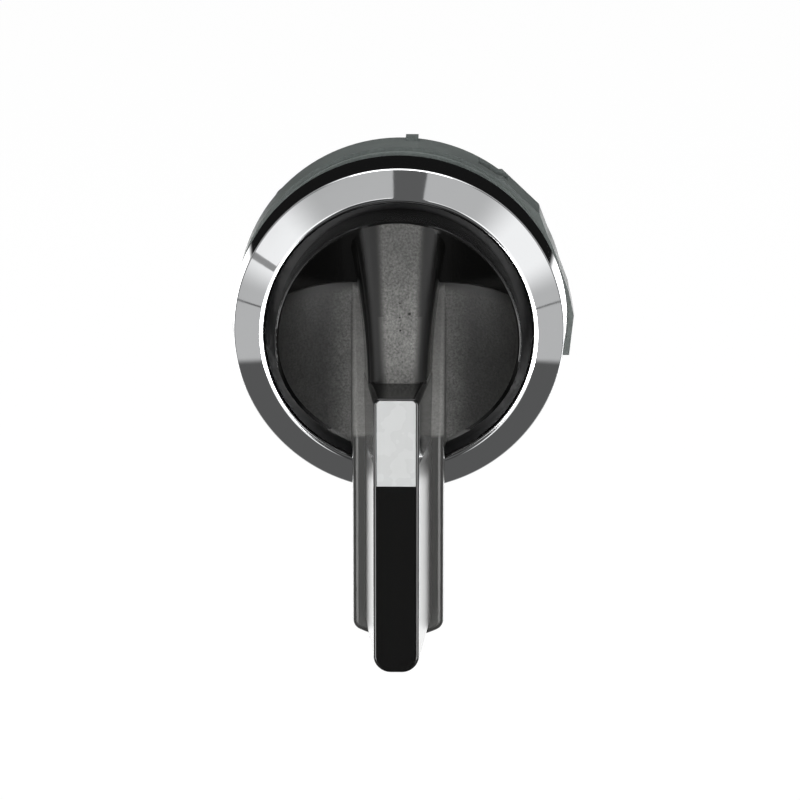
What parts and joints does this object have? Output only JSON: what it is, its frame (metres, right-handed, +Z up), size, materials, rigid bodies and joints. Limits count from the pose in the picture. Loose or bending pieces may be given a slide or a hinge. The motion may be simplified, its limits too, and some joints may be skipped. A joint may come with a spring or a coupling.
{
  "type": "selector switch",
  "caption": "Panel selector switch head with a long black lever handle, white index insert, chrome bezel and rear fixing collar.",
  "frame": {"origin": "on the switch axis, in the plane where the gasket meets the panel's front", "axes": "+Z up, with the lever hanging towards -Z; +Y along the barrel towards the back of the panel; +X to the right seen from the front"},
  "size_m": [0.0309, 0.0372, 0.043],
  "materials": {
    "polished_chrome": "polished plating",
    "black_handle": "fine spark texture on the dial, gloss on the lever",
    "black_housing": "satin",
    "white_insert": "smooth",
    "grey_collar": "satin",
    "black_rubber": "matte",
    "natural_acetal": "smooth",
    "bright_steel": "bright",
    "spring_steel": "drawn"
  },
  "bodies": {
    "body": {"housing_barrel": "black_housing", "bezel_ring": "polished_chrome", "panel_gasket": "black_rubber", "hub_seal": "black_rubber", "guide_plate": "black_housing", "retaining_clip": "spring_steel", "fixing_collar": "grey_collar", "lever_pin": "bright_steel", "clamp_screw_upper": "bright_steel", "clamp_screw_lower": "bright_steel", "pusher_spring_left": "spring_steel", "pusher_spring_right": "spring_steel"},
    "handle": {"selector_handle": "black_handle", "index_insert": "white_insert", "cam_rotor": "natural_acetal", "rotor_screw": "bright_steel", "detent_ball_left": "bright_steel", "detent_ball_right": "bright_steel", "detent_spring_left": "spring_steel", "detent_spring_right": "spring_steel"},
    "left_pusher": {"pusher_left": "natural_acetal"},
    "right_pusher": {"pusher_right": "natural_acetal"},
    "lock": {"locking_lever": "grey_collar"}
  },
  "joints": [
    {"name": "handle_turn", "type": "hinge", "parent": "body", "child": "handle", "pos_m": [0, 0, 0], "axis": [0, -1, 0], "range_deg": [-45, 45]},
    {"name": "left_pusher_slide", "type": "slide", "parent": "body", "child": "left_pusher", "axis": [0, 1, 0], "range_m": [-0.0015, 0.0015], "deforming": ["pusher_spring_left"]},
    {"name": "right_pusher_slide", "type": "slide", "parent": "body", "child": "right_pusher", "axis": [0, 1, 0], "range_m": [-0.0015, 0.0015], "deforming": ["pusher_spring_right"]},
    {"name": "lock_turn", "type": "hinge", "parent": "body", "child": "lock", "pos_m": [0.00848, 0.0058, 0.01011], "axis": [0, -1, 0], "range_deg": [0, 25]}
  ],
  "couplings": [
    {"joint": "left_pusher_slide", "follows": "handle_turn", "m_per_rad": -0.0019},
    {"joint": "right_pusher_slide", "follows": "handle_turn", "m_per_rad": 0.0019}
  ]
}
